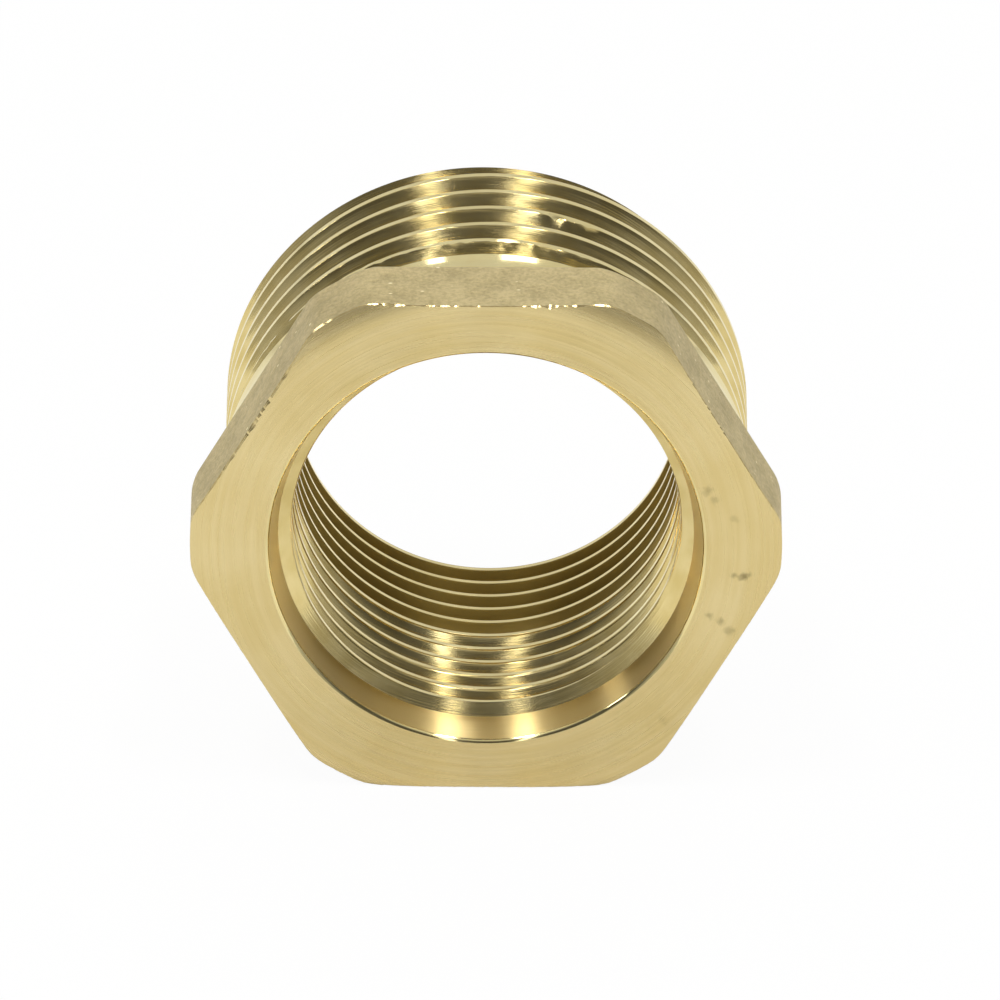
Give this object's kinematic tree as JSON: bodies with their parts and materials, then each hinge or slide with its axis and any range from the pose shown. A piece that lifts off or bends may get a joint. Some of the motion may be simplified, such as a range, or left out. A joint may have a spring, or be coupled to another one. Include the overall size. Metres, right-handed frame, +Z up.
{
  "type": "hex reducing bushing",
  "caption": "Brass hex reducing bushing: male pipe thread behind a hex head, smaller female pipe thread straight through.",
  "frame": {"origin": "on the axis, halfway between the outer face of the head and the male end", "axes": "+Y along the axis towards the male end, +Z up and square to the hex flat that the part rests on"},
  "size_m": [0.0372, 0.022, 0.034],
  "materials": {
    "brass": "turned and bright, with matt blasted hex flats"
  },
  "bodies": {
    "root": {"hex_bushing": "brass"}
  },
  "joints": []
}
